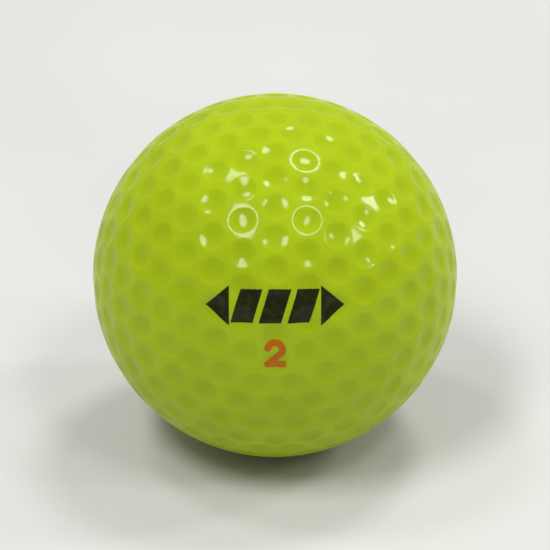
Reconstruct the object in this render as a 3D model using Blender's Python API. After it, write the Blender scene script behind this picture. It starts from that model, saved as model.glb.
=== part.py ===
"""Two-piece golf ball: a solid rubber core inside a dimpled cover of two moulded half shells.

Metres, +Z up. The origin is the ball's centre. The poles of the dimple pattern lie on -Y
(the front, where the play number goes) and +Y, so the parting plane of the two half shells
is y = 0. One half shell is modelled with its pole on +Z and its parting plane at z = 0, and
both halves of the cover are that same moulding, turned to face -Y and +Y.
"""

import math

import bmesh
import bpy
import numpy as np
from mathutils import Matrix

MM = 0.001

# Driving dimensions
BALL_DIAMETER = 42.67 * MM      # smallest diameter that the rules of golf allow
CORE_DIAMETER = 38.50 * MM
PART_GAP = 0.30 * MM            # between the core and the cover, and between the half shells
DIMPLE_DIAMETER = 3.40 * MM     # the largest dimple, rim to rim
DIMPLE_DEPTH = 0.25 * MM        # below the ball's outer sphere, in the largest dimple
LAND_WIDTH = 0.26 * MM          # narrowest web between two dimples

# Dimple layout of one half: a five-sided cap of rows that grow by one dimple per side, then
# full rows down to a plain band that the parting line runs in.
SIDES = 5
CAP_ROWS = 7
BAND_ROWS = 2
CAP_EDGE_POLAR = math.radians(65.0)      # angle from the pole to the cap's last row
SEAM_ROW_LATITUDE = math.radians(5.3)    # of the row beside the parting line
FIRST_SPOKE = math.radians(90.0)         # azimuth of one of the cap's five spokes
HALF_STAGGER = math.radians(36.0)        # turn between the halves, so that rows interlock

# Evening-out of the layout: each dimple is pushed off its neighbours until webs match.
PUSH_ROUNDS = 220
PUSH_STEP = 0.01
PUSH_POWER = 6

# Facets
FLOOR_RING = 0.5                # radius of the ring round a dimple's floor, over its rim's
INNER_RINGS = 9                 # rings of faces in the cover's inner wall
CORE_SUBDIVISIONS = 4
SHARP_EDGE = math.radians(30.0)  # edges steeper than this are shaded sharp

BALL_RADIUS = BALL_DIAMETER / 2
CORE_RADIUS = CORE_DIAMETER / 2
SEAM_HALF_GAP = PART_GAP / 2
UP = np.array([0.0, 0.0, 1.0])

# Tolerances. The last two are in ball radii.
MERGE_DISTANCE = 0.002 * MM     # corners closer than this become one
NEARBY = 12                     # neighbours that can bound a dimple's patch
NO_LENGTH = 1e-9                # lengths and differences below this are rounding
SAME_PLACE = 1e-6               # places closer than this are the same


def unit(vectors):
    """Vectors scaled to length 1 along the last axis."""
    return vectors / np.linalg.norm(vectors, axis=-1, keepdims=True)


def direction(polar, azimuth):
    """Unit vector at an angle from the +Z pole and an azimuth from +X."""
    ring = math.sin(polar)
    return np.array([ring * math.cos(azimuth), ring * math.sin(azimuth), math.cos(polar)])


def along_arc(start, end, share):
    """Point at a share of the great-circle arc between two unit vectors."""
    angle = math.acos(float(start @ end))
    return (math.sin((1 - share) * angle) * start + math.sin(share * angle) * end) / math.sin(angle)


def layout_rows():
    """Dimple centres of one half before evening-out: the pole, the cap and the band rows."""
    centres = [UP]
    side_angle = 2 * math.pi / SIDES
    for row in range(1, CAP_ROWS + 1):
        polar = CAP_EDGE_POLAR * row / CAP_ROWS
        for side in range(SIDES):
            spoke = direction(polar, FIRST_SPOKE + side * side_angle)
            next_spoke = direction(polar, FIRST_SPOKE + (side + 1) * side_angle)
            centres += [along_arc(spoke, next_spoke, step / row) for step in range(row)]
    in_row = SIDES * CAP_ROWS
    pitch = 2 * math.pi / in_row
    seam_row_polar = math.pi / 2 - SEAM_ROW_LATITUDE
    for row in range(1, BAND_ROWS + 1):
        polar = CAP_EDGE_POLAR + (seam_row_polar - CAP_EDGE_POLAR) * row / BAND_ROWS
        start = FIRST_SPOKE + (row % 2) * pitch / 2
        centres += [direction(polar, start + step * pitch) for step in range(in_row)]
    return np.array(centres)


def other_half(centres):
    """The other half's dimple centres: the same ones, turned over and then staggered."""
    cos, sin = math.cos(HALF_STAGGER), math.sin(HALF_STAGGER)
    x, y, z = -centres[:, 0], centres[:, 1], -centres[:, 2]
    return np.stack([x * cos - y * sin, x * sin + y * cos, z], axis=1)


def evened_out(centres):
    """Centres after each has been pushed off all the others, kept clear of the parting line."""
    typical = math.sqrt(4 * math.pi / (2 * len(centres)))
    lowest = math.sin(SEAM_ROW_LATITUDE)
    own = np.arange(len(centres))
    for _ in range(PUSH_ROUNDS):
        others = np.concatenate([centres, other_half(centres)])
        away = centres[:, None] - others[None]
        distance = np.linalg.norm(away, axis=2)
        distance[own, own] = np.inf
        push = (away * ((typical / distance) ** PUSH_POWER)[..., None]).sum(axis=1)
        push -= centres * (push * centres).sum(axis=1, keepdims=True)
        centres = unit(centres + PUSH_STEP * push)
        z = np.maximum(centres[:, 2], lowest)
        ring = np.sqrt(1 - z ** 2) / np.linalg.norm(centres[:, :2], axis=1).clip(NO_LENGTH)
        centres = np.stack([centres[:, 0] * ring, centres[:, 1] * ring, z], axis=1)
        centres[0] = UP
    return centres


def dimple_radii(centres):
    """Rim radius of each dimple: the largest that leaves the web to its nearest neighbour."""
    others = np.concatenate([centres, other_half(centres)])
    angle = np.arccos(np.clip(centres @ others.T, -1, 1))
    angle[np.arange(len(centres)), np.arange(len(centres))] = np.inf
    spacing = angle.min(axis=1) * BALL_RADIUS
    return np.minimum(DIMPLE_DIAMETER, spacing - LAND_WIDTH) / 2


def cell_corners(index, centres):
    """Corners of the patch of surface nearest to one dimple, anticlockwise from outside.

    The mirror images of the centres count as neighbours, so patches beside the parting line
    end on the parting plane.
    """
    centre = centres[index]
    mirrored = centres * np.array([1.0, 1.0, -1.0])
    others = np.concatenate([np.delete(centres, index, axis=0), mirrored])
    near = others[np.argsort(-(others @ centre))[:NEARBY]]
    first, second = np.triu_indices(len(near), k=1)
    crossings = np.cross(centre - near[first], centre - near[second])
    crossings = unit(crossings[np.linalg.norm(crossings, axis=1) > NO_LENGTH])
    crossings *= np.sign(crossings @ centre)[:, None]
    nearest = (crossings @ near.T).max(axis=1) <= crossings @ centre + NO_LENGTH
    corners = crossings[nearest]
    east, north = tangents(centre)
    turn = np.arctan2(corners @ north, corners @ east)
    corners = corners[np.argsort(turn)]
    repeated = np.linalg.norm(corners - np.roll(corners, 1, axis=0), axis=1) < SAME_PLACE
    return corners[~repeated]


def tangents(centre):
    """Two unit vectors square to a direction, making a right-handed set with it."""
    helper = np.array([1.0, 0.0, 0.0]) if abs(centre[0]) < 0.9 else np.array([0.0, 1.0, 0.0])
    east = unit(np.cross(helper, centre))
    return east, np.cross(centre, east)


def in_dimple(centre, toward, radius, share):
    """Point at a share of a dimple's rim radius, on the side that faces another direction.

    The floor lies below the ball's outer sphere by a parabola: deepest in the middle, nothing
    at the rim. Smaller dimples are shallower, so that all walls meet the land at one angle.
    """
    tangent = unit(toward - centre * (toward @ centre))
    angle = share * radius / BALL_RADIUS
    depth = DIMPLE_DEPTH * (2 * radius / DIMPLE_DIAMETER) ** 2 * (1 - share ** 2)
    return (centre * math.cos(angle) + tangent * math.sin(angle)) * (BALL_RADIUS - depth)


def seam_lifted(point):
    """A point on the parting plane moved along the sphere to the half shell's own edge."""
    if point[2] > SAME_PLACE:
        return point
    z = SEAM_HALF_GAP / BALL_RADIUS
    ring = math.sqrt(1 - z ** 2) / math.hypot(point[0], point[1])
    return np.array([point[0] * ring, point[1] * ring, z])


def add_face(mesh, points):
    """One face through points given anticlockwise as seen from its outer side."""
    mesh.faces.new([mesh.verts.new(tuple(point)) for point in points])


def add_dimple_patch(mesh, centre, corners, radius):
    """A dimple with its floor, rim and the land around it, out to the patch's corners."""
    bottom = in_dimple(centre, corners[0], radius, 0)
    for corner, next_corner in zip(corners, np.roll(corners, -1, axis=0)):
        middle = unit(corner + next_corner)
        rim = [in_dimple(centre, toward, radius, 1) for toward in (corner, middle, next_corner)]
        floor, next_floor = (in_dimple(centre, toward, radius, FLOOR_RING)
                             for toward in (corner, next_corner))
        start, end = (seam_lifted(point) * BALL_RADIUS for point in (corner, next_corner))
        add_face(mesh, (bottom, floor, next_floor))
        add_face(mesh, (floor, rim[0], rim[1]))
        add_face(mesh, (floor, rim[1], next_floor))
        add_face(mesh, (next_floor, rim[1], rim[2]))
        add_face(mesh, (rim[0], start, rim[1]))
        add_face(mesh, (rim[1], end, rim[2]))
        if corner[2] < SAME_PLACE and next_corner[2] < SAME_PLACE:
            edge_middle = seam_lifted(middle) * BALL_RADIUS
            add_face(mesh, (start, edge_middle, rim[1]))
            add_face(mesh, (edge_middle, end, rim[1]))
        else:
            add_face(mesh, (start, end, rim[1]))


def add_inner_wall(mesh, azimuths):
    """The half shell's inner wall, a bowl of rings, and its flat edge out to the seam."""
    half_step = math.pi / len(azimuths)
    half_ring = math.pi / 4 / INNER_RINGS
    facet_sag = math.cos(math.hypot(half_step, half_ring))
    radius = (CORE_RADIUS + PART_GAP) / facet_sag
    edge_polar = math.acos(SEAM_HALF_GAP / radius)
    polars = [edge_polar * ring / INNER_RINGS for ring in range(INNER_RINGS + 1)]
    pairs = list(zip(azimuths, np.roll(azimuths, -1)))
    for azimuth, next_azimuth in pairs:
        for upper, lower in zip(polars, polars[1:]):
            quad = [direction(upper, azimuth), direction(upper, next_azimuth),
                    direction(lower, next_azimuth), direction(lower, azimuth)]
            corners = quad[1:] if upper == 0 else quad
            add_face(mesh, [point * radius for point in corners])
        inner, next_inner = (direction(edge_polar, angle) * radius
                             for angle in (azimuth, next_azimuth))
        outer, next_outer = (seam_lifted(direction(math.pi / 2, angle)) * BALL_RADIUS
                             for angle in (azimuth, next_azimuth))
        outer_middle = seam_lifted(unit(outer * (1, 1, 0) + next_outer * (1, 1, 0))) * BALL_RADIUS
        add_face(mesh, (inner, next_inner, outer_middle))
        add_face(mesh, (outer, inner, outer_middle))
        add_face(mesh, (outer_middle, next_inner, next_outer))


def half_shell_mesh():
    """One moulded half of the cover, pole on +Z, as a closed mesh."""
    centres = evened_out(layout_rows())
    radii = dimple_radii(centres)
    mesh = bmesh.new()
    seam_azimuths = set()
    for index, radius in enumerate(radii):
        corners = cell_corners(index, centres)
        add_dimple_patch(mesh, centres[index], corners, radius)
        for corner in corners[corners[:, 2] < SAME_PLACE]:
            seam_azimuths.add(round(math.atan2(corner[1], corner[0]), 7))
    add_inner_wall(mesh, sorted(seam_azimuths))
    bmesh.ops.remove_doubles(mesh, verts=mesh.verts, dist=MERGE_DISTANCE)
    bmesh.ops.triangulate(mesh, faces=mesh.faces)
    shell = bpy.data.meshes.new("cover_half")
    mesh.to_mesh(shell)
    mesh.free()
    return shell


def core_mesh():
    """The solid core: a ball of even triangles."""
    mesh = bmesh.new()
    bmesh.ops.create_icosphere(mesh, subdivisions=CORE_SUBDIVISIONS, radius=CORE_RADIUS)
    core = bpy.data.meshes.new("core")
    mesh.to_mesh(core)
    mesh.free()
    return core


def material(name, colour, roughness):
    """A Principled material without metal."""
    result = bpy.data.materials.new(name)
    result.use_nodes = True
    shader = result.node_tree.nodes["Principled BSDF"]
    shader.inputs["Base Color"].default_value = (*colour, 1.0)
    shader.inputs["Roughness"].default_value = roughness
    shader.inputs["Metallic"].default_value = 0.0
    return result


def add_object(name, mesh, finish, turn, parent):
    """One named piece: its mesh, its material, its turn about the ball's centre, its parent."""
    piece = bpy.data.objects.new(name, mesh)
    bpy.context.scene.collection.objects.link(piece)
    piece.parent = parent
    piece.matrix_local = turn
    if not mesh.materials:
        mesh.materials.append(finish)
    mesh.shade_smooth()
    mesh.set_sharp_from_angle(angle=SHARP_EDGE)
    return piece


def main():
    for existing in list(bpy.data.objects):
        bpy.data.objects.remove(existing, do_unlink=True)

    ball = bpy.data.objects.new("golf_ball", None)
    bpy.context.scene.collection.objects.link(ball)

    rubber = material("core_rubber", (0.20, 0.42, 0.55), 0.65)
    ionomer = material("cover_ionomer", (0.62, 0.78, 0.02), 0.15)

    to_front = Matrix.Rotation(math.pi / 2, 4, "X")
    half_turn = Matrix.Rotation(math.pi, 4, "Z")
    stagger = Matrix.Rotation(-HALF_STAGGER, 4, "Y")

    shell = half_shell_mesh()
    add_object("core", core_mesh(), rubber, Matrix.Identity(4), ball)
    add_object("cover_front_half", shell, ionomer, to_front, ball)
    add_object("cover_rear_half", shell, ionomer, stagger @ half_turn @ to_front, ball)


main()
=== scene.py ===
"""The looks of a two-piece golf ball: its dimpled cover, its prints, its core and the studio.

Everything is in metres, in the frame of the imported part: the origin is the ball's centre, +Z
is up, the front half of the cover has its pole on -Y and the rear half on +Y.
"""

import logging
import math
from collections.abc import Iterable
from dataclasses import dataclass, field
from enum import Enum

import bmesh
import bpy
import numpy as np
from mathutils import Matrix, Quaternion, Vector


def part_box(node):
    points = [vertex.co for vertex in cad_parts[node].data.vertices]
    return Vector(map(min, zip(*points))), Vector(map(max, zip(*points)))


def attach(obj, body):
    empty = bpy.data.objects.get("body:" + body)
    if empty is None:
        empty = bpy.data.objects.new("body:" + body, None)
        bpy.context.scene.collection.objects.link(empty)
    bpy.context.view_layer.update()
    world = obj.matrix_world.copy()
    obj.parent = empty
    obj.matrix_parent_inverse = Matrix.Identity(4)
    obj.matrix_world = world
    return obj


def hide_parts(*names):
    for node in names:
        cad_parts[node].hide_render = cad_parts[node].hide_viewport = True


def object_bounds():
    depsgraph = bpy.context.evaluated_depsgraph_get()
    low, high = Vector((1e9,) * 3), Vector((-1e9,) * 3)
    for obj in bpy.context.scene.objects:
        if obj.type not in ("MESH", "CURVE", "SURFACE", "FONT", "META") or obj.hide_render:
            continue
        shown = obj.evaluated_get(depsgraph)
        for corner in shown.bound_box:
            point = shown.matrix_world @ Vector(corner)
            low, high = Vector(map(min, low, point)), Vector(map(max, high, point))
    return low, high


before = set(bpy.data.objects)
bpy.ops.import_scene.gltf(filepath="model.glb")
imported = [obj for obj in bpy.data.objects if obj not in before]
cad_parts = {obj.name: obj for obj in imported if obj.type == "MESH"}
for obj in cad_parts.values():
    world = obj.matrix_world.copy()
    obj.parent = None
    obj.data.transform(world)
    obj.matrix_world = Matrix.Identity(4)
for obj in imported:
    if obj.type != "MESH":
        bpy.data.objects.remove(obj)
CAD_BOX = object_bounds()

MM = 0.001
SHARP_EDGE = math.radians(50)   # edges that bend more than this aren't shaded smooth
NO_LENGTH = 1e-9                # shorter than any real length between points of a unit sphere
SAME_PLACE = 1e-6               # directions and angles nearer than this are the same
DEPTH_ATTRIBUTE = "dimple_depth"
LOG = logging.getLogger("golf_ball")

Faces = list[np.ndarray]


# --- directions, meshes and objects --------------------------------------------------------


def unit(vectors: np.ndarray) -> np.ndarray:
    """Scale vectors to length 1 along the last axis."""
    return vectors / np.linalg.norm(vectors, axis=-1, keepdims=True)


def direction(polar: np.ndarray | float, azimuth: np.ndarray | float) -> np.ndarray:
    """Unit vectors at an angle from the +Z pole and an azimuth from +X.

    Args:
        polar: angle from the pole, in radians.
        azimuth: angle about the pole, in radians.

    Returns:
        (sin p cos a, sin p sin a, cos p) on a new last axis.
    """
    polar, azimuth = np.broadcast_arrays(polar, azimuth)
    ring = np.sin(polar)
    return np.stack([ring * np.cos(azimuth), ring * np.sin(azimuth), np.cos(polar)], axis=-1)


def turn_about(axis: int, angle: float) -> np.ndarray:
    """Rotation matrix about one axis.

    Args:
        axis: 0 for X, 1 for Y, 2 for Z.
        angle: radians, by the right-hand rule.

    Returns:
        The 3 by 3 matrix.
    """
    first, second = (axis + 1) % 3, (axis + 2) % 3
    matrix = np.eye(3)
    matrix[first, first] = matrix[second, second] = math.cos(angle)
    matrix[second, first] = math.sin(angle)
    matrix[first, second] = -math.sin(angle)
    return matrix


def grid_faces(rows: int, columns: int, closed: bool = False) -> np.ndarray:
    """Quads of a grid whose point (row, column) has the index row * columns + column.

    Args:
        rows: points along the first parameter.
        columns: points along the second parameter.
        closed: whether the last column joins the first.

    Returns:
        (n, 4) indices, anticlockwise where rows run up and columns run right.
    """
    row = np.arange(rows - 1)[:, None]
    column = np.arange(columns if closed else columns - 1)[None]
    after = (column + 1) % columns
    corners = (row * columns + column, row * columns + after,
               (row + 1) * columns + after, (row + 1) * columns + column)
    return np.stack(np.broadcast_arrays(*corners), axis=-1).reshape(-1, 4)


def build_mesh(name: str, points: np.ndarray, faces: Faces, merge: float) -> bpy.types.Mesh:
    """Put points and faces into a mesh and weld the points that coincide.

    Args:
        name: the mesh's name.
        points: (n, 3) positions.
        faces: index arrays, one for each number of corners.
        merge: points closer than this become one.

    Returns:
        The welded mesh, shaded smooth but for its sharp edges.
    """
    mesh = bpy.data.meshes.new(name)
    mesh.from_pydata(points.tolist(), [], [face for block in faces for face in block.tolist()])
    welded = bmesh.new()
    welded.from_mesh(mesh)
    bmesh.ops.remove_doubles(welded, verts=welded.verts, dist=merge)
    welded.to_mesh(mesh)
    welded.free()
    mesh.shade_smooth()
    mesh.set_sharp_from_angle(angle=SHARP_EDGE)
    return mesh


def add_object(name: str, data: bpy.types.ID) -> bpy.types.Object:
    """Put a mesh, a lamp or a camera into the scene.

    Args:
        name: the object's name.
        data: what it holds.

    Returns:
        The new object, at the origin.
    """
    holder = bpy.data.objects.new(name, data)
    bpy.context.scene.collection.objects.link(holder)
    return holder


def add_piece(name: str, mesh: bpy.types.Mesh, finish: "Finish") -> bpy.types.Object:
    """Add a finished mesh as a piece that rides on the ball.

    Args:
        name: the piece's name.
        mesh: its mesh, in place.
        finish: what it is made of.

    Returns:
        The new object, at the origin.
    """
    mesh.materials.append(finish.material())
    piece = add_object(name, mesh)
    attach(piece, "root")
    LOG.info("%s: %d faces, %s", name, len(mesh.polygons), finish.slot)
    return piece


def aim(holder: bpy.types.Object, target: Vector, azimuth: float, elevation: float,
        distance: float, roll: float = 0.0) -> None:
    """Stand a lamp or camera off a target and point it there.

    It stands along (sin azimuth cos elevation, -cos azimuth cos elevation, sin elevation).

    Args:
        holder: the lamp's or camera's object, which looks along its -Z axis.
        target: what it points at.
        azimuth: degrees from -Y, towards +X.
        elevation: degrees over the horizon.
        distance: metres from the target.
        roll: degrees that it is turned about its own line of sight.
    """
    round_ball, over_floor = math.radians(azimuth), math.radians(elevation)
    back = Vector((math.sin(round_ball) * math.cos(over_floor),
                   -math.cos(round_ball) * math.cos(over_floor), math.sin(over_floor)))
    holder.location = target + back * distance
    holder.rotation_mode = "QUATERNION"
    rolled = Quaternion((0.0, 0.0, 1.0), math.radians(roll))
    holder.rotation_quaternion = (-back).to_track_quat("-Z", "Y") @ rolled


# --- finishes ------------------------------------------------------------------------------


def linear(colour: str) -> tuple[float, float, float, float]:
    """Turn an sRGB colour into linear values.

    Args:
        colour: six hex digits.

    Returns:
        Red, green and blue, each part / 12.92 where it is dark and ((part + 0.055) / 1.055) to
        the power 2.4 elsewhere, and an alpha of 1.
    """
    parts = [int(colour[start:start + 2], 16) / 255 for start in (0, 2, 4)]
    red, green, blue = (part / 12.92 if part <= 0.04045 else ((part + 0.055) / 1.055) ** 2.4
                        for part in parts)
    return red, green, blue, 1.0


def add_node(tree: bpy.types.NodeTree, kind: str, settings: dict | None = None,
             links: dict | None = None,
             stops: Iterable[tuple[float, str]] = ()) -> bpy.types.Node:
    """Add one node with its settings and links.

    Args:
        tree: the material's node tree.
        kind: the node's type, without the "ShaderNode" in front.
        settings: property or input names, and their values.
        links: input names, and the (node, output) that each is fed from.
        stops: position and sRGB hex colour of each stop of a colour ramp, in order.

    Returns:
        The new node.
    """
    node = tree.nodes.new("ShaderNode" + kind)
    for name, value in (settings or {}).items():
        if hasattr(node, name):
            setattr(node, name, value)
        else:
            node.inputs[name].default_value = value
    for name, (source, output) in (links or {}).items():
        tree.links.new(source.outputs[output], node.inputs[name])
    for index, (position, colour) in enumerate(stops):
        elements = node.color_ramp.elements
        element = elements[index] if index < len(elements) else elements.new(position)
        element.position, element.color = position, linear(colour)
    return node


@dataclass(frozen=True)
class Finish:
    """What a piece is made of, and how its surface was made."""

    name: str
    slot: str = ""

    def material(self) -> bpy.types.Material:
        """The finish's material.

        Returns:
            The material of the finish's name, made the first time it is asked for.
        """
        existing = bpy.data.materials.get(self.name)
        if existing:
            return existing
        result = bpy.data.materials.new(self.name)
        result.use_nodes = True
        result.node_tree.nodes.clear()
        shader = self.shader(result.node_tree)
        add_node(result.node_tree, "OutputMaterial", links={"Surface": (shader, "BSDF")})
        return result

    def shader(self, tree: bpy.types.NodeTree) -> bpy.types.Node:
        """Add the finish's own nodes.

        Args:
            tree: the material's empty node tree.

        Returns:
            The Principled BSDF that they feed.
        """
        raise NotImplementedError


@dataclass(frozen=True)
class Lacquered(Finish):
    """Anything under the clear gloss lacquer that the printed ball is sprayed with.

    The lacquer gives a small sharp light in every dimple, a bright ring where a rim faces a
    lamp, and a pale sheen where the surface turns away. It dries slightly wavy, which bends
    the outlines of the lights. Nothing under it shines by itself, because the plastic and the
    ink bend light almost as much as the lacquer does, so the gloss is all in the coat.
    """

    wave_size: float = 1.6 * MM
    wave_height: float = 0.004 * MM

    def waviness(self, tree: bpy.types.NodeTree, place: bpy.types.Node) -> bpy.types.Node:
        """Add the lacquer's waves.

        Args:
            tree: the material's node tree.
            place: its Texture Coordinate node.

        Returns:
            The Bump node.
        """
        wave = add_node(tree, "TexNoise", {"Scale": 1 / self.wave_size, "Detail": 1.0},
                        {"Vector": (place, "Object")})
        return add_node(tree, "Bump", {"Strength": 1.0, "Distance": self.wave_height},
                        {"Height": (wave, "Fac")})

    def gloss(self) -> dict[str, float]:
        """The lacquer's settings on a Principled BSDF."""
        return {"Specular IOR Level": 0.0, "Coat Weight": 0.45, "Coat Roughness": 0.095,
                "Coat IOR": 1.42}


@dataclass(frozen=True)
class LacqueredIonomer(Lacquered):
    """Injection-moulded ionomer, coloured with fluorescent pigment, under the lacquer.

    The pigment sends back more yellow and green than a plain one does, and light wanders a
    little way through the plastic, so the colour looks lit from inside. The dimples' floors are
    coloured a little darker than the land between them: painted shade in the hollows. Fine dust
    in the spray makes the gloss a little uneven; its grains are drawn five times as coarse as
    they are, to show at all.
    """

    # painted shade: the colour of the dimples' floors, darker than the land's
    painted_dimple_shade_colour: str = "99AE12"
    land_colour: str = "9EB314"
    mottle_size: float = 5 * MM
    dust_size: float = 0.25 * MM
    dust_height: float = 0.0006 * MM
    light_spread: float = 0.7 * MM

    def shader(self, tree: bpy.types.NodeTree) -> bpy.types.Node:
        """Add pigment mottle, painted shade in the dimples, the lacquer's waves and its dust.

        Args:
            tree: the material's empty node tree.

        Returns:
            The Principled BSDF that they feed.
        """
        place = add_node(tree, "TexCoord")
        depth = add_node(tree, "Attribute", {"attribute_name": DEPTH_ATTRIBUTE})
        # painted shade: the colour darkens from the land's to the dimples' floors with depth,
        # fully at 0.7 of the deepest
        colour = add_node(tree, "ValToRGB", links={"Fac": (depth, "Fac")},
                          stops=[(0.0, self.land_colour), (0.7, self.painted_dimple_shade_colour)])
        mottle = add_node(tree, "TexNoise", {"Scale": 1 / self.mottle_size, "Detail": 3.0},
                          {"Vector": (place, "Object")})
        strength = add_node(tree, "MapRange", {"From Min": 0.3, "From Max": 0.7,
                                               "To Min": 0.95, "To Max": 1.05},
                            {"Value": (mottle, "Fac")})
        tinted = add_node(tree, "HueSaturation", {"Hue": 0.5},
                          {"Color": (colour, "Color"), "Value": (strength, "Result")})
        waviness = self.waviness(tree, place)
        dust = add_node(tree, "TexNoise", {"Scale": 1 / self.dust_size, "Detail": 2.0},
                        {"Vector": (place, "Object")})
        grain = add_node(tree, "Bump", {"Strength": 1.0, "Distance": self.dust_height},
                         {"Height": (dust, "Fac"), "Normal": (waviness, "Normal")})
        roughness = add_node(tree, "MapRange", {"To Min": 0.30, "To Max": 0.45},
                             {"Value": (dust, "Fac")})
        return add_node(
            tree, "BsdfPrincipled",
            {"IOR": 1.49, "Subsurface Weight": 0.45, "Subsurface Radius": (0.9, 1.0, 0.12),
             "Subsurface Scale": self.light_spread, **self.gloss()},
            {"Base Color": (tinted, "Color"), "Normal": (waviness, "Normal"),
             "Coat Normal": (grain, "Normal"), "Roughness": (roughness, "Result")})


@dataclass(frozen=True)
class PadInk(Lacquered):
    """Pad-printing ink under the lacquer.

    A silicone pad lays it down as an even film, so the colour is full and flat, but a little
    thinner and paler in patches where the pad lifted it.
    """

    full_colour: str = "1A2008"
    thin_colour: str = "283010"
    patch_size: float = 0.7 * MM

    def shader(self, tree: bpy.types.NodeTree) -> bpy.types.Node:
        """Add the ink's uneven film and the lacquer's waves.

        Args:
            tree: the material's empty node tree.

        Returns:
            The Principled BSDF that they feed.
        """
        place = add_node(tree, "TexCoord")
        patches = add_node(tree, "TexNoise", {"Scale": 1 / self.patch_size, "Detail": 4.0},
                           {"Vector": (place, "Object")})
        colour = add_node(tree, "ValToRGB", links={"Fac": (patches, "Fac")},
                          stops=[(0.45, self.full_colour), (0.75, self.thin_colour)])
        waviness = self.waviness(tree, place)
        roughness = add_node(tree, "MapRange", {"To Min": 0.35, "To Max": 0.55},
                             {"Value": (patches, "Fac")})
        return add_node(tree, "BsdfPrincipled", {"IOR": 1.5, **self.gloss()},
                        {"Base Color": (colour, "Color"), "Normal": (waviness, "Normal"),
                         "Coat Normal": (waviness, "Normal"),
                         "Roughness": (roughness, "Result")})


@dataclass(frozen=True)
class GroundRubber(Finish):
    """Peroxide-cured polybutadiene, ground round between wheels.

    Grinding leaves it matt, with scratches that run round the line of the poles, and the
    reground scrap in it shows as dark specks and pale clouds.
    """

    rubber_colour: str = "2A6C86"
    speck_colour: str = "174052"
    pale_colour: str = "5E9AAE"
    speck_size: float = 0.8 * MM
    cloud_size: float = 6 * MM
    scratch_width: float = 0.12 * MM
    scratch_depth: float = 0.02 * MM
    scratch_shortening: float = 0.12

    def shader(self, tree: bpy.types.NodeTree) -> bpy.types.Node:
        """Add the specks and clouds of reground rubber and the grinding scratches.

        Args:
            tree: the material's empty node tree.

        Returns:
            The Principled BSDF that they feed.
        """
        place = add_node(tree, "TexCoord")
        specks = add_node(tree, "TexVoronoi", {"Scale": 1 / self.speck_size},
                          {"Vector": (place, "Object")})
        colour = add_node(tree, "ValToRGB", links={"Fac": (specks, "Distance")},
                          stops=[(0.12, self.speck_colour), (0.2, self.rubber_colour),
                                 (0.8, self.rubber_colour)])
        cloud = add_node(tree, "TexNoise", {"Scale": 1 / self.cloud_size, "Detail": 3.0},
                         {"Vector": (place, "Object")})
        pale = add_node(tree, "ValToRGB", links={"Fac": (cloud, "Fac")},
                        stops=[(0.5, "000000"), (0.9, "FFFFFF")])
        mixed = add_node(tree, "MixRGB", {"Color2": linear(self.pale_colour)},
                         {"Fac": (pale, "Color"), "Color1": (colour, "Color")})
        along = self.scratch_shortening
        stretched = add_node(tree, "Mapping", {"Scale": (along, 1.0, along)},
                             {"Vector": (place, "Object")})
        scratches = add_node(tree, "TexNoise", {"Scale": 1 / self.scratch_width, "Detail": 3.0},
                             {"Vector": (stretched, "Vector")})
        ground = add_node(tree, "Bump", {"Strength": 1.0, "Distance": self.scratch_depth},
                          {"Height": (scratches, "Fac")})
        roughness = add_node(tree, "MapRange", {"To Min": 0.55, "To Max": 0.8},
                             {"Value": (scratches, "Fac")})
        return add_node(tree, "BsdfPrincipled", {"IOR": 1.52},
                        {"Base Color": (mixed, "Color"), "Normal": (ground, "Normal"),
                         "Roughness": (roughness, "Result")})


@dataclass(frozen=True)
class PaleBoard(Finish):
    """Uncoated pressed board: quite matt, with cloudy fibres and a faint felt-side grain."""

    board_colour: str = "CFCFCC"
    shade_colour: str = "C9C9C6"
    cloud_size: float = 60 * MM
    grain_size: float = 0.6 * MM
    grain_height: float = 0.03 * MM

    def shader(self, tree: bpy.types.NodeTree) -> bpy.types.Node:
        """Add the board's cloudy shade and its grain.

        Args:
            tree: the material's empty node tree.

        Returns:
            The Principled BSDF that they feed.
        """
        place = add_node(tree, "TexCoord")
        cloud = add_node(tree, "TexNoise", {"Scale": 1 / self.cloud_size, "Detail": 2.0},
                         {"Vector": (place, "Object")})
        colour = add_node(tree, "ValToRGB", links={"Fac": (cloud, "Fac")},
                          stops=[(0.3, self.shade_colour), (0.7, self.board_colour)])
        grain = add_node(tree, "TexNoise", {"Scale": 1 / self.grain_size, "Detail": 3.0},
                         {"Vector": (place, "Object")})
        raised = add_node(tree, "Bump", {"Strength": 0.5, "Distance": self.grain_height},
                          {"Height": (grain, "Fac")})
        return add_node(tree, "BsdfPrincipled", {"Roughness": 0.85, "Specular IOR Level": 0.2},
                        {"Base Color": (colour, "Color"), "Normal": (raised, "Normal")})


# --- the dimple pattern --------------------------------------------------------------------


class Half(Enum):
    """The two halves of the cover. Both are one moulding, made with its pole on +Z."""

    FRONT = "front"
    REAR = "rear"

    def turn(self, stagger: float) -> np.ndarray:
        """Rotation from the moulding's frame to the ball's.

        Args:
            stagger: angle between the halves about the line of the poles, in radians.

        Returns:
            A 3 by 3 matrix that brings the pole from +Z to -Y, or to +Y for the rear half.
        """
        to_front = turn_about(0, math.pi / 2)
        if self is Half.FRONT:
            return to_front
        return turn_about(1, -stagger) @ turn_about(2, math.pi) @ to_front


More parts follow.
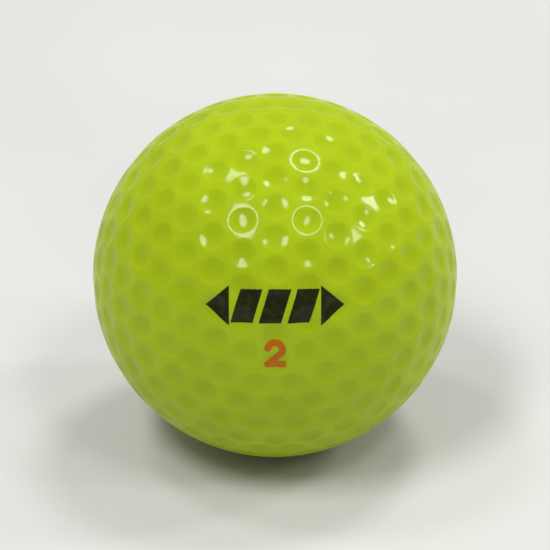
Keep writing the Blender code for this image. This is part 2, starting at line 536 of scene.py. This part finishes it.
@dataclass
class DimplePattern:
    """Where the dimples of one half lie, and how far the surface dips under the ball's sphere.

    A five-sided cap of rows that grow by one dimple per side from the pole, then full rows
    down to a plain band that the parting line runs in. The layout is the CAD part's own.
    """

    ball_radius: float
    dimple_diameter: float = 3.40 * MM
    dimple_depth: float = 0.25 * MM
    land_width: float = 0.26 * MM
    rim_rounding: float = 0.18 * MM
    sides: int = 5
    cap_rows: int = 7
    band_rows: int = 2
    cap_edge_polar: float = math.radians(65.0)
    seam_row_latitude: float = math.radians(5.3)
    first_spoke: float = math.radians(90.0)
    stagger: float = math.radians(36.0)
    push_rounds: int = 220
    push_step: float = 0.01
    push_power: int = 6
    neighbours: int = 12
    at_a_time: int = 20000
    centres: np.ndarray = field(init=False)
    everywhere: np.ndarray = field(init=False)
    radii: np.ndarray = field(init=False)

    def __post_init__(self) -> None:
        """Lay the dimples out, even them out and size them."""
        self.centres = self.evened_out(self.rows())
        self.everywhere = np.concatenate([self.centres, self.other_half(self.centres)])
        self.radii = self.rim_radii()

    def rows(self) -> np.ndarray:
        """Centres before evening-out.

        A cap row's dimples divide the great-circle arcs between its spokes into equal parts. A
        band row's are equally spaced round the pole, half a pitch on from the row before.

        Returns:
            (n, 3) unit vectors, from the pole to the seam.
        """
        centres = [np.array([[0.0, 0.0, 1.0]])]
        spokes = self.first_spoke + 2 * math.pi / self.sides * np.arange(self.sides)
        for row in range(1, self.cap_rows + 1):
            start = direction(self.cap_edge_polar * row / self.cap_rows, spokes)
            end = np.roll(start, -1, axis=0)
            angle = math.acos(float(start[0] @ end[0]))
            share = (np.arange(row) / row)[None, :, None]
            arcs = (np.sin((1 - share) * angle) * start[:, None]
                    + np.sin(share * angle) * end[:, None]) / math.sin(angle)
            centres.append(arcs.reshape(-1, 3))
        in_row = self.sides * self.cap_rows
        pitch = 2 * math.pi / in_row
        last_polar = math.pi / 2 - self.seam_row_latitude
        for row in range(1, self.band_rows + 1):
            share = row / self.band_rows
            polar = self.cap_edge_polar * (1 - share) + last_polar * share
            azimuths = self.first_spoke + (row % 2) * pitch / 2 + pitch * np.arange(in_row)
            centres.append(direction(polar, azimuths))
        return np.concatenate(centres)

    def other_half(self, centres: np.ndarray) -> np.ndarray:
        """The other half's dimples in this half's frame: turned over, then staggered."""
        turned_over = centres * np.array([-1.0, 1.0, -1.0])
        return turned_over @ turn_about(2, self.stagger).T

    def evened_out(self, centres: np.ndarray) -> np.ndarray:
        """Push each centre off all the others until the webs between dimples match.

        Each round moves a centre along the surface by the sum, over the other centres, of the
        vector away from it over its distance to the power push_power. The seam row is kept
        from the parting line, and the pole dimple stays on the pole.

        Args:
            centres: (n, 3) unit vectors.

        Returns:
            The moved centres.
        """
        typical = math.sqrt(4 * math.pi / (2 * len(centres)))
        lowest = math.sin(self.seam_row_latitude)
        own = np.arange(len(centres))
        for _ in range(self.push_rounds):
            others = np.concatenate([centres, self.other_half(centres)])
            away = centres[:, None] - others[None]
            distance = np.linalg.norm(away, axis=2)
            distance[own, own] = np.inf
            push = (away * ((typical / distance) ** self.push_power)[..., None]).sum(axis=1)
            push -= centres * (push * centres).sum(axis=1, keepdims=True)
            centres = unit(centres + self.push_step * push)
            height = np.maximum(centres[:, 2], lowest)
            flat = np.linalg.norm(centres[:, :2], axis=1).clip(NO_LENGTH)
            ring = np.sqrt(1 - height ** 2) / flat
            centres = np.stack([centres[:, 0] * ring, centres[:, 1] * ring, height], axis=1)
            centres[0] = (0.0, 0.0, 1.0)
        return centres

    def rim_radii(self) -> np.ndarray:
        """Size the dimples.

        Returns:
            (n,) rim radii, each the largest that leaves the dimple its web to the nearest one.
        """
        angle = np.arccos(np.clip(self.centres @ self.everywhere.T, -1, 1))
        own = np.arange(len(self.centres))
        angle[own, own] = np.inf
        spacing = angle.min(axis=1) * self.ball_radius
        return np.minimum(self.dimple_diameter, spacing - self.land_width) / 2

    def depth(self, directions: np.ndarray) -> np.ndarray:
        """How far the surface lies below the ball's outer sphere.

        Each dimple is a paraboloid, bowl * (rim radius squared - distance squared) - crest, cut
        off at zero by a blend that rounds its rim over rim_rounding to each side. The depths of
        all the dimples add up, so the webs between them are rounded too. The blended surface is
        level, square to the line to the dimple's centre, where the paraboloid's value is -crest
        = blend / (ball radius * bowl) - blend, so that crest puts the rim's top on the rim
        radius. The bowl is as deep in the middle of the largest dimple as dimple_depth says.

        Args:
            directions: (n, 3) unit vectors in the moulding's frame.

        Returns:
            (n,) depths in metres.
        """
        largest = self.dimple_diameter / 2
        ring = 2 * largest * self.rim_rounding
        bowl = (self.dimple_depth - ring / self.ball_radius) / (largest ** 2 - ring)
        blend = ring * bowl
        crest = blend - blend / (self.ball_radius * bowl)
        radii = np.concatenate([self.radii, self.radii])
        depths = []
        for block in np.array_split(directions, max(1, len(directions) // self.at_a_time)):
            squared = 2 * self.ball_radius ** 2 * (1 - block @ self.everywhere.T)
            bowls = bowl * (radii ** 2 - squared) - crest
            rounded = (np.clip(bowls, -blend, blend) + blend) ** 2 / (4 * blend)
            depths.append(np.where(bowls > blend, bowls, rounded).sum(axis=1))
        return np.concatenate(depths)

    def cell(self, index: int) -> np.ndarray:
        """Corners of the patch of surface nearest to one dimple.

        A corner is as far from this dimple as from two others, with none nearer. The mirror
        images of the dimples count as others, so patches beside the seam end on the parting
        plane.

        Args:
            index: the dimple's place in centres.

        Returns:
            (corners, 3) unit vectors, anticlockwise from outside.
        """
        centre = self.centres[index]
        mirrored = self.centres * np.array([1.0, 1.0, -1.0])
        others = np.concatenate([np.delete(self.centres, index, axis=0), mirrored])
        near = others[np.argsort(-(others @ centre))[:self.neighbours]]
        first, second = np.triu_indices(len(near), k=1)
        crossings = np.cross(centre - near[first], centre - near[second])
        crossings = unit(crossings[np.linalg.norm(crossings, axis=1) > NO_LENGTH])
        crossings *= np.sign(crossings @ centre)[:, None]
        nearest = (crossings @ near.T).max(axis=1) <= crossings @ centre + NO_LENGTH
        corners = crossings[nearest]
        helper = np.eye(3)[0 if abs(centre[0]) < 0.9 else 1]
        east = unit(np.cross(helper, centre))
        north = np.cross(centre, east)
        corners = corners[np.argsort(np.arctan2(corners @ north, corners @ east))]
        apart = np.linalg.norm(corners - np.roll(corners, 1, axis=0), axis=1) >= SAME_PLACE
        return corners[apart]


# --- the cover -----------------------------------------------------------------------------


@dataclass
class CoverHalf:
    """One moulded half of the cover: dimpled skin, plain edge and inner wall, closed."""

    half: Half
    pattern: DimplePattern
    finish: Finish
    inner_radius: float
    side_steps: int = 5
    bowl_rings: tuple[float, ...] = (0.25, 0.47, 0.66, 0.82, 0.93, 1.0)
    inner_rings: int = 24
    seam_gap: float = 0.010 * MM
    seam_groove_depth: float = 0.020 * MM
    seam_groove_width: float = 0.12 * MM
    weld: float = 0.001 * MM

    def seam_height(self) -> float:
        """Height of the half's edge over the parting plane, as part of the ball's radius."""
        return self.seam_gap / 2 / self.pattern.ball_radius

    def seam_edge(self, directions: np.ndarray) -> np.ndarray:
        """Move the directions that lie on the parting plane up to the half's edge.

        Args:
            directions: (..., 3) unit vectors.

        Returns:
            The same, with the height of the edge where they had none.
        """
        height = self.seam_height()
        flat = np.linalg.norm(directions[..., :2], axis=-1, keepdims=True)
        ring = directions[..., :2] / flat * math.sqrt(1 - height ** 2)
        lifted = np.concatenate([ring, np.full_like(flat, height)], axis=-1)
        return np.where(directions[..., 2:] < SAME_PLACE, lifted, directions)

    def skin(self, directions: np.ndarray) -> np.ndarray:
        """Points of the outer skin: the ball's sphere less the dimples and the seam's groove.

        The groove deepens with the square of the nearness to the edge.

        Args:
            directions: (..., 3) unit vectors.

        Returns:
            The points in those directions.
        """
        radius = self.pattern.ball_radius
        flat = directions.reshape(-1, 3)
        nearness = np.clip(1 - flat[:, 2] * radius / self.seam_groove_width, 0, 1)
        depth = self.pattern.depth(flat) + self.seam_groove_depth * nearness ** 2
        return (flat * (radius - depth)[:, None]).reshape(directions.shape)

    def ring_angles(self, rim: np.ndarray, reach: np.ndarray) -> np.ndarray:
        """Angles from a dimple's centre of the rings of points in its patch.

        The rings lie at the shares bowl_rings of the bowl's radius, close together where the
        rim is rounded, and then run out to the patch's edge.

        Args:
            rim: (patches, 1) rim angles.
            reach: (patches, rays) angles out to the patch's edge.

        Returns:
            (patches, rays, rings) angles.
        """
        rounding = self.pattern.rim_rounding / self.pattern.ball_radius
        rim = np.broadcast_to(rim, reach.shape)
        land = reach - rim
        inside = [(rim - rounding) * share for share in self.bowl_rings]
        rounded = [rim - rounding / 2, rim,
                   rim + np.minimum(rounding / 2, land / 3),
                   rim + np.minimum(rounding, land * 2 / 3)]
        outside = [rim + np.minimum(rounding * 2.2, land * 0.84), reach]
        return np.stack(inside + rounded + outside, axis=-1)

    def patches(self, corners: np.ndarray, centres: np.ndarray,
                radii: np.ndarray) -> tuple[np.ndarray, Faces, np.ndarray]:
        """Surface of all the patches that have the same number of corners.

        A patch is a function of a ray and a ring: rays run from the dimple's centre to points
        that divide the patch's sides equally, and rings lie at the angles of ring_angles.

        Args:
            corners: (patches, corners, 3) unit vectors.
            centres: (patches, 3) unit vectors.
            radii: (patches,) rim radii.

        Returns:
            Points, faces, and the directions of the points on the seam.
        """
        share = (np.arange(self.side_steps) / self.side_steps)[:, None]
        after = np.roll(corners, -1, axis=1)
        edge = unit(corners[:, :, None] * (1 - share) + after[:, :, None] * share)
        edge = self.seam_edge(edge.reshape(len(corners), -1, 3))
        centre = centres[:, None]
        along = (edge * centre).sum(axis=-1)
        outward = unit(edge - centre * along[..., None])
        angles = self.ring_angles((radii / self.pattern.ball_radius)[:, None], np.arccos(along))
        rays = (centre[:, :, None] * np.cos(angles)[..., None]
                + outward[:, :, None] * np.sin(angles)[..., None])
        count, ray_count, ring_count = angles.shape
        rays = rays.transpose(0, 2, 1, 3).reshape(count, -1, 3)
        directions = np.concatenate([rays, centre], axis=1)

        ray = np.arange(ray_count)
        middle = np.full(ray_count, ray_count * ring_count)
        fan = np.stack([middle, ray, (ray + 1) % ray_count], axis=1)
        bands = grid_faces(ring_count, ray_count, closed=True)[:, [0, 3, 2, 1]]
        first = (np.arange(count) * directions.shape[1])[:, None, None]
        faces = [(fan + first).reshape(-1, 3), (bands + first).reshape(-1, 4)]
        on_seam = edge[edge[..., 2] < self.seam_height() + SAME_PLACE]
        return self.skin(directions).reshape(-1, 3), faces, on_seam

    def edge_and_inner_wall(self, on_seam: np.ndarray) -> tuple[np.ndarray, Faces]:
        """The flat edge on the parting plane and the bowl inside.

        The bowl is a function of azimuth and polar angle at the inner radius. The edge is one
        band of quads from the bowl's last ring to the skin's points on the seam.

        Args:
            on_seam: directions of the skin's points on the seam, some of them twice.

        Returns:
            Points and faces.
        """
        azimuths = np.sort(np.arctan2(on_seam[:, 1], on_seam[:, 0]))
        steps = np.diff(azimuths, prepend=azimuths[-1] - 2 * math.pi)
        azimuths = azimuths[steps > SAME_PLACE]
        edge_polar = math.acos(self.seam_gap / 2 / self.inner_radius)
        polars = np.linspace(0, edge_polar, self.inner_rings + 1)
        bowl = direction(polars[1:, None], azimuths[None]) * self.inner_radius
        seam_polar = math.acos(self.seam_height())
        rim = self.skin(direction(seam_polar, azimuths))
        rings = np.concatenate([bowl, rim[None]])
        count = len(azimuths)
        points = np.concatenate([rings.reshape(-1, 3), [[0.0, 0.0, self.inner_radius]]])
        quads = grid_faces(len(rings), count, closed=True)
        step = np.arange(count)
        fan = np.stack([np.full(count, len(points) - 1), (step + 1) % count, step], axis=1)
        return points, [fan, quads]

    def build(self) -> bpy.types.Object:
        """Make the half's mesh in the moulding's frame, and turn it to its place.

        Returns:
            The piece, which stands for the half's CAD node.
        """
        cells = [self.pattern.cell(index) for index in range(len(self.pattern.centres))]
        sizes = np.array([len(corners) for corners in cells])
        points, faces, on_seam = [], [], []
        for size in np.unique(sizes):
            same = np.flatnonzero(sizes == size)
            block, block_faces, block_seam = self.patches(
                np.stack([cells[index] for index in same]),
                self.pattern.centres[same], self.pattern.radii[same])
            faces += [face + sum(map(len, points)) for face in block_faces]
            points.append(block)
            on_seam.append(block_seam)
        wall, wall_faces = self.edge_and_inner_wall(np.concatenate(on_seam))
        faces += [face + sum(map(len, points)) for face in wall_faces]
        points.append(wall)

        turned = np.concatenate(points) @ self.half.turn(self.pattern.stagger).T
        name = f"cover_{self.half.value}_moulding"
        mesh = build_mesh(name, turned, faces, self.weld)
        self.store_depth(mesh)
        piece = add_piece(name, mesh, self.finish)
        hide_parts(f"cover_{self.half.value}_half")
        return piece

    def store_depth(self, mesh: bpy.types.Mesh) -> None:
        """Store how deep each point of the skin lies, for the finish's painted shade.

        The value is the depth over the deepest dimple's, from 0 to 1. It is 0 on the inner
        wall, which lies much deeper than any dimple.

        Args:
            mesh: the half's mesh.
        """
        places = np.empty(len(mesh.vertices) * 3, dtype=np.float32)
        mesh.vertices.foreach_get("co", places)
        radius = np.linalg.norm(places.reshape(-1, 3), axis=1)
        sunk = (self.pattern.ball_radius - radius) / self.pattern.dimple_depth
        values = np.where(sunk > 1.5, 0, np.clip(sunk, 0, 1)).astype(np.float32)
        attribute = mesh.attributes.new(DEPTH_ATTRIBUTE, "FLOAT", "POINT")
        attribute.data.foreach_set("value", values)


# --- the prints ----------------------------------------------------------------------------


def stroke(u: np.ndarray, v: np.ndarray, start: tuple[float, float],
           end: tuple[float, float]) -> np.ndarray:
    """Distance to a straight stroke's centre line.

    Args:
        u: places to the right.
        v: places upwards.
        start: one end of the line.
        end: the other end.

    Returns:
        The distances, in the places' unit.
    """
    run = np.subtract(end, start)
    share = ((u - start[0]) * run[0] + (v - start[1]) * run[1]) / (run @ run)
    share = np.clip(share, 0, 1)
    return np.hypot(u - start[0] - share * run[0], v - start[1] - share * run[1])


def bow(u: np.ndarray, v: np.ndarray, centre: tuple[float, float], radius: float,
        start: float, end: float) -> np.ndarray:
    """Distance to the centre line of an arc.

    Args:
        u: places to the right.
        v: places upwards.
        centre: the arc's centre.
        radius: its radius.
        start: angle of its end on the left, in radians from +u, anticlockwise.
        end: angle of its end on the right, less than start.

    Returns:
        The distances, in the places' unit.
    """
    across, up = u - centre[0], v - centre[1]
    middle = (start + end) / 2
    angle = np.arctan2(up, across)
    off_middle = np.abs((angle - middle + math.pi) % (2 * math.pi) - math.pi)
    on_arc = np.abs(np.hypot(across, up) - radius)
    ends = [np.hypot(across - radius * math.cos(a), up - radius * math.sin(a))
            for a in (start, end)]
    return np.where(off_middle <= (start - end) / 2, on_arc, np.minimum(*ends))


@dataclass
class Artwork:
    """A flat shape to print, in a box round its centre."""

    width: float
    height: float

    def distance(self, u: np.ndarray, v: np.ndarray) -> np.ndarray:
        """Signed distance to the shape's outline.

        Args:
            u: places to the right of the centre.
            v: places over it.

        Returns:
            The distances in metres, negative inside.
        """
        raise NotImplementedError


@dataclass
class FigureTwo(Artwork):
    """A bold figure 2: a bow, a slanting stroke and a foot, cut square at its box."""

    line: float
    bow_start: float = math.radians(168)
    bow_end: float = math.radians(-48)

    def distance(self, u: np.ndarray, v: np.ndarray) -> np.ndarray:
        """Signed distance to the figure's outline.

        It is the distance to the nearest of the three strokes, less half the line's width, or
        the distance to the box's sides where that is more.

        Args:
            u: places to the right of the centre.
            v: places over it.

        Returns:
            The distances in metres, negative inside.
        """
        side, top, half_line = self.width / 2, self.height / 2, self.line / 2
        radius = side - half_line
        centre = (0.0, top - half_line - radius)
        heel = (radius * math.cos(self.bow_end), centre[1] + radius * math.sin(self.bow_end))
        foot = (-radius, half_line - top)
        strokes = [bow(u, v, centre, radius, self.bow_start, self.bow_end),
                   stroke(u, v, heel, foot), stroke(u, v, foot, (side, foot[1]))]
        box = np.maximum(np.abs(u) - side, np.abs(v) - top)
        return np.maximum(np.minimum.reduce(strokes) - half_line, box)


@dataclass
class AlignmentMark(Artwork):
    """A putting aid: slanted bars in a row between two arrowheads that point outwards.

    The arrowheads' bases stand base_share of the width from the centre. Gaps take gap_share of
    the width, bars reach bar_share of the height up and down, and slant is their lean, sideways
    over upwards.
    """

    bars: int = 3
    base_share: float = 0.325
    gap_share: float = 0.045
    bar_share: float = 0.42
    slant: float = 0.30

    def distance(self, u: np.ndarray, v: np.ndarray) -> np.ndarray:
        """Signed distance to the nearest outline of the arrowheads and the bars.

        A shape's distance is the largest of those to its sides' lines.

        Args:
            u: places to the right of the centre.
            v: places over it.

        Returns:
            The distances in metres, negative inside.
        """
        tip, base, half_height = self.width / 2, self.width * self.base_share, self.height / 2
        gap = self.gap_share * self.width
        bar = (2 * (base - gap) - gap * (self.bars - 1)) / self.bars
        middles = [(index - (self.bars - 1) / 2) * (bar + gap) for index in range(self.bars)]
        out = np.abs(u)
        face = half_height * (tip - out) / (tip - base)
        square_on = math.cos(math.atan2(half_height, tip - base))
        head = np.maximum((np.abs(v) - face) * square_on, base - out)
        upright = math.cos(math.atan(self.slant))
        slats = [np.maximum((np.abs(u - middle - self.slant * v) - bar / 2) * upright,
                            np.abs(v) - self.height * self.bar_share) for middle in middles]
        return np.minimum.reduce([head, *slats])


@dataclass
class Print:
    """A pad-printed shape: an ink film that follows the dimpled surface.

    The film is drawn thicker than real ink, to stay closed and clear of the cover.
    """

    name: str
    half: Half
    pattern: DimplePattern
    finish: Finish
    artwork: Artwork
    elevation: float
    pitch: float = 0.06 * MM
    ink_spread: float = 0.010 * MM
    wave_across: float = 0.11 * MM
    wave_up: float = 0.13 * MM
    film_height: float = 0.015 * MM
    film_thickness: float = 0.030 * MM
    slide_rounds: int = 6
    least_slope: float = 0.2

    def outline(self, u: np.ndarray, v: np.ndarray) -> np.ndarray:
        """The artwork with the slight waviness of an edge of ink, which spreads as it dries."""
        wave = np.sin(u / self.wave_across) * np.sin(v / self.wave_up)
        return self.artwork.distance(u, v) + self.ink_spread * wave

    def sheet(self) -> tuple[np.ndarray, np.ndarray, np.ndarray]:
        """A flat grid trimmed to the outline.

        Points outside that touch a point inside are slid down the slope of the distance until
        they lie on the outline, and triangles with no point inside are dropped.

        Returns:
            Places to the right and upwards of the print's centre, and triangles.
        """
        columns, lines = (np.arange(-size / 2 - self.pitch, size / 2 + self.pitch, self.pitch)
                          for size in (self.artwork.width, self.artwork.height))
        u, v = (axis.ravel() for axis in np.meshgrid(columns, lines))
        inside = self.outline(u, v) < 0
        quads = grid_faces(len(lines), len(columns))
        triangles = np.concatenate([quads[:, [0, 1, 2]], quads[:, [0, 2, 3]]])
        triangles = triangles[inside[triangles].any(axis=1)]
        step = self.pitch / 50
        for _ in range(self.slide_rounds):
            value = self.outline(u, v)
            slope_u = (self.outline(u + step, v) - self.outline(u - step, v)) / (2 * step)
            slope_v = (self.outline(u, v + step) - self.outline(u, v - step)) / (2 * step)
            steepness = np.maximum(slope_u ** 2 + slope_v ** 2, self.least_slope)
            u = np.where(inside, u, u - value * slope_u / steepness)
            v = np.where(inside, v, v - value * slope_v / steepness)
        used, triangles = np.unique(triangles, return_inverse=True)
        return u[used], v[used], triangles.reshape(-1, 3)

    def on_ball(self, u: np.ndarray, v: np.ndarray) -> np.ndarray:
        """Carry flat places onto the ball, keeping their distance from the print's centre.

        The direction is the print's centre turned by distance over ball radius towards the
        place, and the radius is the dimpled surface's, plus the film's height.

        Args:
            u: places to the right.
            v: places upwards.

        Returns:
            (n, 3) points.
        """
        facing = -1.0 if self.half is Half.FRONT else 1.0
        centre = np.array([0.0, facing * math.cos(self.elevation), math.sin(self.elevation)])
        right = np.array([-facing, 0.0, 0.0])
        upward = np.cross(centre, right)
        distance = np.hypot(u, v).clip(NO_LENGTH * MM)
        angle = distance / self.pattern.ball_radius
        towards = (u / distance)[:, None] * right + (v / distance)[:, None] * upward
        directions = centre * np.cos(angle)[:, None] + towards * np.sin(angle)[:, None]
        depth = self.pattern.depth(directions @ self.half.turn(self.pattern.stagger))
        return directions * (self.pattern.ball_radius - depth + self.film_height)[:, None]

    def build(self) -> bpy.types.Object:
        """Make the film, closed by a thickness that reaches into the cover.

        Returns:
            The piece.
        """
        u, v, triangles = self.sheet()
        name = f"{self.name}_{self.half.value}"
        mesh = build_mesh(name, self.on_ball(u, v), [triangles], self.pitch / 100)
        piece = add_piece(name, mesh, self.finish)
        thickness = piece.modifiers.new("film", "SOLIDIFY")
        thickness.thickness = self.film_thickness
        thickness.offset = -1.0
        return piece


# --- the core ------------------------------------------------------------------------------


@dataclass
class Core:
    """The solid rubber core, with the low ground-down belt that its mould's flash leaves."""

    radius: float
    finish: Finish
    face_points: int = 41
    belt_height: float = 0.04 * MM
    belt_width: float = 0.9 * MM
    wander: float = 0.015 * MM
    waves: tuple[tuple[float, ...], ...] = ((5.0, 2.0, 1.0), (-2.0, 6.0, 3.0), (3.0, -1.0, 7.0))
    weld: float = 0.01 * MM

    def surface(self, directions: np.ndarray) -> np.ndarray:
        """Points of the core.

        The radius less belt_height, plus a bell-shaped belt on the mould's parting plane, plus
        a slow wander of three crossed waves, as grinding leaves it.

        Args:
            directions: (n, 3) unit vectors.

        Returns:
            The points in those directions.
        """
        height = directions[:, 1] * self.radius
        belt = self.belt_height * np.exp(-(height / self.belt_width) ** 2)
        wave = np.sin(directions @ np.array(self.waves).T).mean(axis=1)
        lowest = self.radius - self.belt_height - self.wander
        return directions * (lowest + belt + self.wander * wave)[:, None]

    def build(self) -> bpy.types.Object:
        """Make the core from six square grids blown up to a sphere and welded.

        Returns:
            The piece, which stands for the core's CAD node.
        """
        side = np.tan(np.linspace(-1, 1, self.face_points) * math.pi / 4)
        across, up = (axis.ravel() for axis in np.meshgrid(side, side))
        panel = np.stack([across, up, np.ones_like(across)], axis=1)
        turns = [turn_about(1, quarter * math.pi / 2) for quarter in range(4)]
        turns += [turn_about(0, quarter * math.pi / 2) for quarter in (1, 3)]
        directions = unit(np.concatenate([panel @ turn.T for turn in turns]))
        quads = grid_faces(self.face_points, self.face_points)
        faces = [quads + len(panel) * index for index in range(len(turns))]
        mesh = build_mesh("core_moulding", self.surface(directions), faces, self.weld)
        piece = add_piece("core_moulding", mesh, self.finish)
        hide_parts("core")
        return piece


# --- the studio ----------------------------------------------------------------------------


@dataclass
class Softbox:
    """An oval lamp behind a diffuser, facing the ball.

    Azimuth, elevation, distance and roll are as aim takes them. Width and height are the
    degrees that the lamp fills as seen from the ball, and radiance is how bright its face is.
    """

    name: str
    azimuth: float
    elevation: float
    width: float
    height: float
    radiance: float
    roll: float = 0.0
    distance: float = 1.5

    def build(self, target: Vector) -> None:
        """Hang the lamp. Its power is pi times its radiance and its area.

        Args:
            target: what it points at.
        """
        lamp = bpy.data.lights.new(self.name, "AREA")
        lamp.shape = "ELLIPSE"
        lamp.size, lamp.size_y = (2 * self.distance * math.tan(math.radians(angle) / 2)
                                  for angle in (self.width, self.height))
        lamp.energy = math.pi * self.radiance * (math.pi / 4 * lamp.size * lamp.size_y)
        aim(add_object(self.name, lamp), target, self.azimuth, self.elevation, self.distance,
            self.roll)
        LOG.info("%s: %.2f W", self.name, lamp.energy)


@dataclass
class Studio:
    """Pale floor, soft lamps and the camera."""

    target: Vector
    floor_height: float
    floor_finish: Finish
    floor_size: float = 6.0
    camera_elevation: float = 27.5
    camera_distance: float = 0.41
    view_angle: float = 9.0
    nearest_seen: float = 0.01
    ambient: float = 0.30
    softboxes: tuple[Softbox, ...] = (
        Softbox("key_left", -36.4, 57.3, 13, 26, 18, roll=40),
        Softbox("key_back", 135.9, 69.1, 14, 15, 18.5),
        Softbox("fill_front_right", 36.4, 57.3, 9, 18, 15, roll=-45),
        Softbox("fill_top", -108.6, 68.4, 10, 12, 16),
        Softbox("fill_right", 99.5, 37.7, 9, 11, 23),
        Softbox("fill_low_right", 67.0, 35.0, 7, 10, 16),
    )

    def build(self) -> None:
        """Make the floor, the lamps, the even light all round, and the camera."""
        self.floor()
        for softbox in self.softboxes:
            softbox.build(self.target)
        world = bpy.data.worlds.new("studio")
        world.use_nodes = True
        background = world.node_tree.nodes["Background"]
        background.inputs["Strength"].default_value = self.ambient
        background.inputs["Color"].default_value = linear("FFFFFF")
        bpy.context.scene.world = world
        bpy.context.scene.view_settings.view_transform = "Standard"
        self.camera()

    def floor(self) -> None:
        """A flat square of board under the ball."""
        half = self.floor_size / 2
        side = np.linspace(-half, half, 3)
        across, along = (axis.ravel() for axis in np.meshgrid(side, side))
        points = np.stack([across, along, np.full_like(across, self.floor_height)], axis=1)
        mesh = build_mesh("floor", points, [grid_faces(3, 3)], SAME_PLACE)
        mesh.materials.append(self.floor_finish.material())
        add_object("floor", mesh)

    def camera(self) -> None:
        """A long lens, low enough to look at the printed side and high enough to see the top."""
        data = bpy.data.cameras.new("camera")
        data.angle = math.radians(self.view_angle)
        data.clip_start = self.nearest_seen
        camera = add_object("camera", data)
        aim(camera, self.target, 0.0, self.camera_elevation, self.camera_distance)
        bpy.context.scene.camera = camera


# --- the whole -----------------------------------------------------------------------------


def main() -> None:
    """Build the ball from the inside out, then the studio round it."""
    low, high = CAD_BOX
    ball_radius = (high.x - low.x) / 2
    core_low, core_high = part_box("core")
    core_radius = (core_high.x - core_low.x) / 2
    contact_gap = 0.02 * MM

    Core(core_radius, GroundRubber("ground_rubber", "core_rubber")).build()

    pattern = DimplePattern(ball_radius)
    cover = LacqueredIonomer("lacquered_ionomer", "cover_ionomer")
    black = PadInk("black_pad_ink", "mark_ink")
    orange = PadInk("orange_pad_ink", "number_ink", full_colour="B05A08", thin_colour="AC680A")
    mark = AlignmentMark(16 * MM, 4.6 * MM)
    number = FigureTwo(2.45 * MM, 3.5 * MM, 0.78 * MM)
    for half in Half:
        CoverHalf(half, pattern, cover, core_radius + contact_gap).build()
        Print("alignment_mark", half, pattern, black, mark, math.radians(18.0)).build()
        Print("play_number", half, pattern, orange, number, math.radians(3.0)).build()

    Studio((low + high) / 2, low.z, PaleBoard("pale_board")).build()


if __name__ == "__main__":
    logging.basicConfig(level=logging.INFO, format="%(message)s")
    main()
